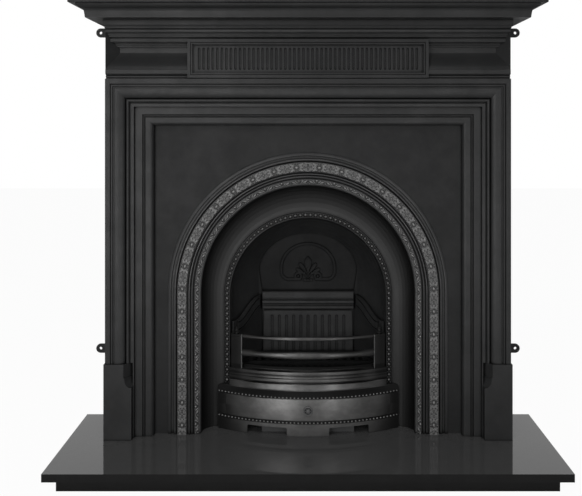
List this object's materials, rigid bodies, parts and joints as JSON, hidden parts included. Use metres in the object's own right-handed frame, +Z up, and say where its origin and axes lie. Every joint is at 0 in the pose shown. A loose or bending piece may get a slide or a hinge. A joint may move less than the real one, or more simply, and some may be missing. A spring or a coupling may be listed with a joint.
{
  "type": "cast iron fireplace",
  "caption": "Cast iron arched fireplace with mantel shelf, fluted frieze, cove, lift-off grate front, ash pan and tipping flue damper, on a black stone hearth.",
  "frame": {"origin": "centre of the underside of the hearth plinth, on the floor", "axes": "+X to the right seen from the room, +Y into the wall, +Z up"},
  "size_m": [1.37, 0.477, 1.312],
  "materials": {
    "cast_iron": "satin black iron paste over casting",
    "dark_iron": "matt black iron paste over casting",
    "burnished_iron": "rubbed bright high points on black iron",
    "steel": "plain mill steel",
    "black_stone": "polished black granite"
  },
  "bodies": {
    "fireplace": {"hearth_plinth": "black_stone", "hearth_slab": "black_stone", "back_hearth": "black_stone", "left_plinth_block": "cast_iron", "right_plinth_block": "cast_iron", "left_jamb": "cast_iron", "right_jamb": "cast_iron", "head_rail": "cast_iron", "frieze_board": "cast_iron", "frieze_frame": "cast_iron", "fluted_tablet": "cast_iron", "crown_moulding": "cast_iron", "mantel_shelf": "cast_iron", "fixing_lugs": "cast_iron", "corner_plates": "steel", "corner_bolts": "steel", "shelf_brackets": "steel", "bracket_bolts": "steel", "insert_panel": "dark_iron", "panel_clips": "steel", "clip_bolts": "steel", "arch_moulding": "cast_iron", "cove_reveal": "dark_iron", "beaded_ring": "cast_iron", "firebox_front": "dark_iron", "left_cheek": "dark_iron", "right_cheek": "dark_iron", "cheek_bolts": "steel", "hood": "dark_iron", "throat_frame": "dark_iron", "fireback": "cast_iron", "hob_lintel": "cast_iron", "register_pins": "steel"},
    "damper": {"register_plate": "dark_iron"},
    "grate_front_piece": {"grate_front": "cast_iron", "post_finials": "burnished_iron"},
    "bottom_grate_piece": {"bottom_grate": "dark_iron"},
    "ash_cover_piece": {"ash_cover": "burnished_iron", "cover_rosette": "burnished_iron"},
    "ash_pan_piece": {"ash_pan": "steel", "pan_handle": "steel"}
  },
  "joints": [
    {"name": "damper_tip", "type": "hinge", "parent": "fireplace", "child": "damper", "pos_m": [0, 0.2445, 0.427], "axis": [-1, 0, 0], "range_deg": [0, 40]},
    {"name": "grate_front_lift", "type": "slide", "parent": "fireplace", "child": "grate_front_piece", "axis": [0, 0, 1], "range_m": [0, 0.045]},
    {"name": "bottom_grate_lift", "type": "slide", "parent": "fireplace", "child": "bottom_grate_piece", "axis": [0, 0, 1], "range_m": [0, 0.06]},
    {"name": "ash_cover_pull", "type": "slide", "parent": "fireplace", "child": "ash_cover_piece", "axis": [0, -1, 0], "range_m": [0, 0.16]},
    {"name": "ash_pan_slide", "type": "slide", "parent": "fireplace", "child": "ash_pan_piece", "axis": [0, -1, 0], "range_m": [0, 0.12]}
  ],
  "couplings": [
    {"joint": "ash_pan_slide", "follows": "ash_cover_pull", "ratio": 0.75}
  ]
}
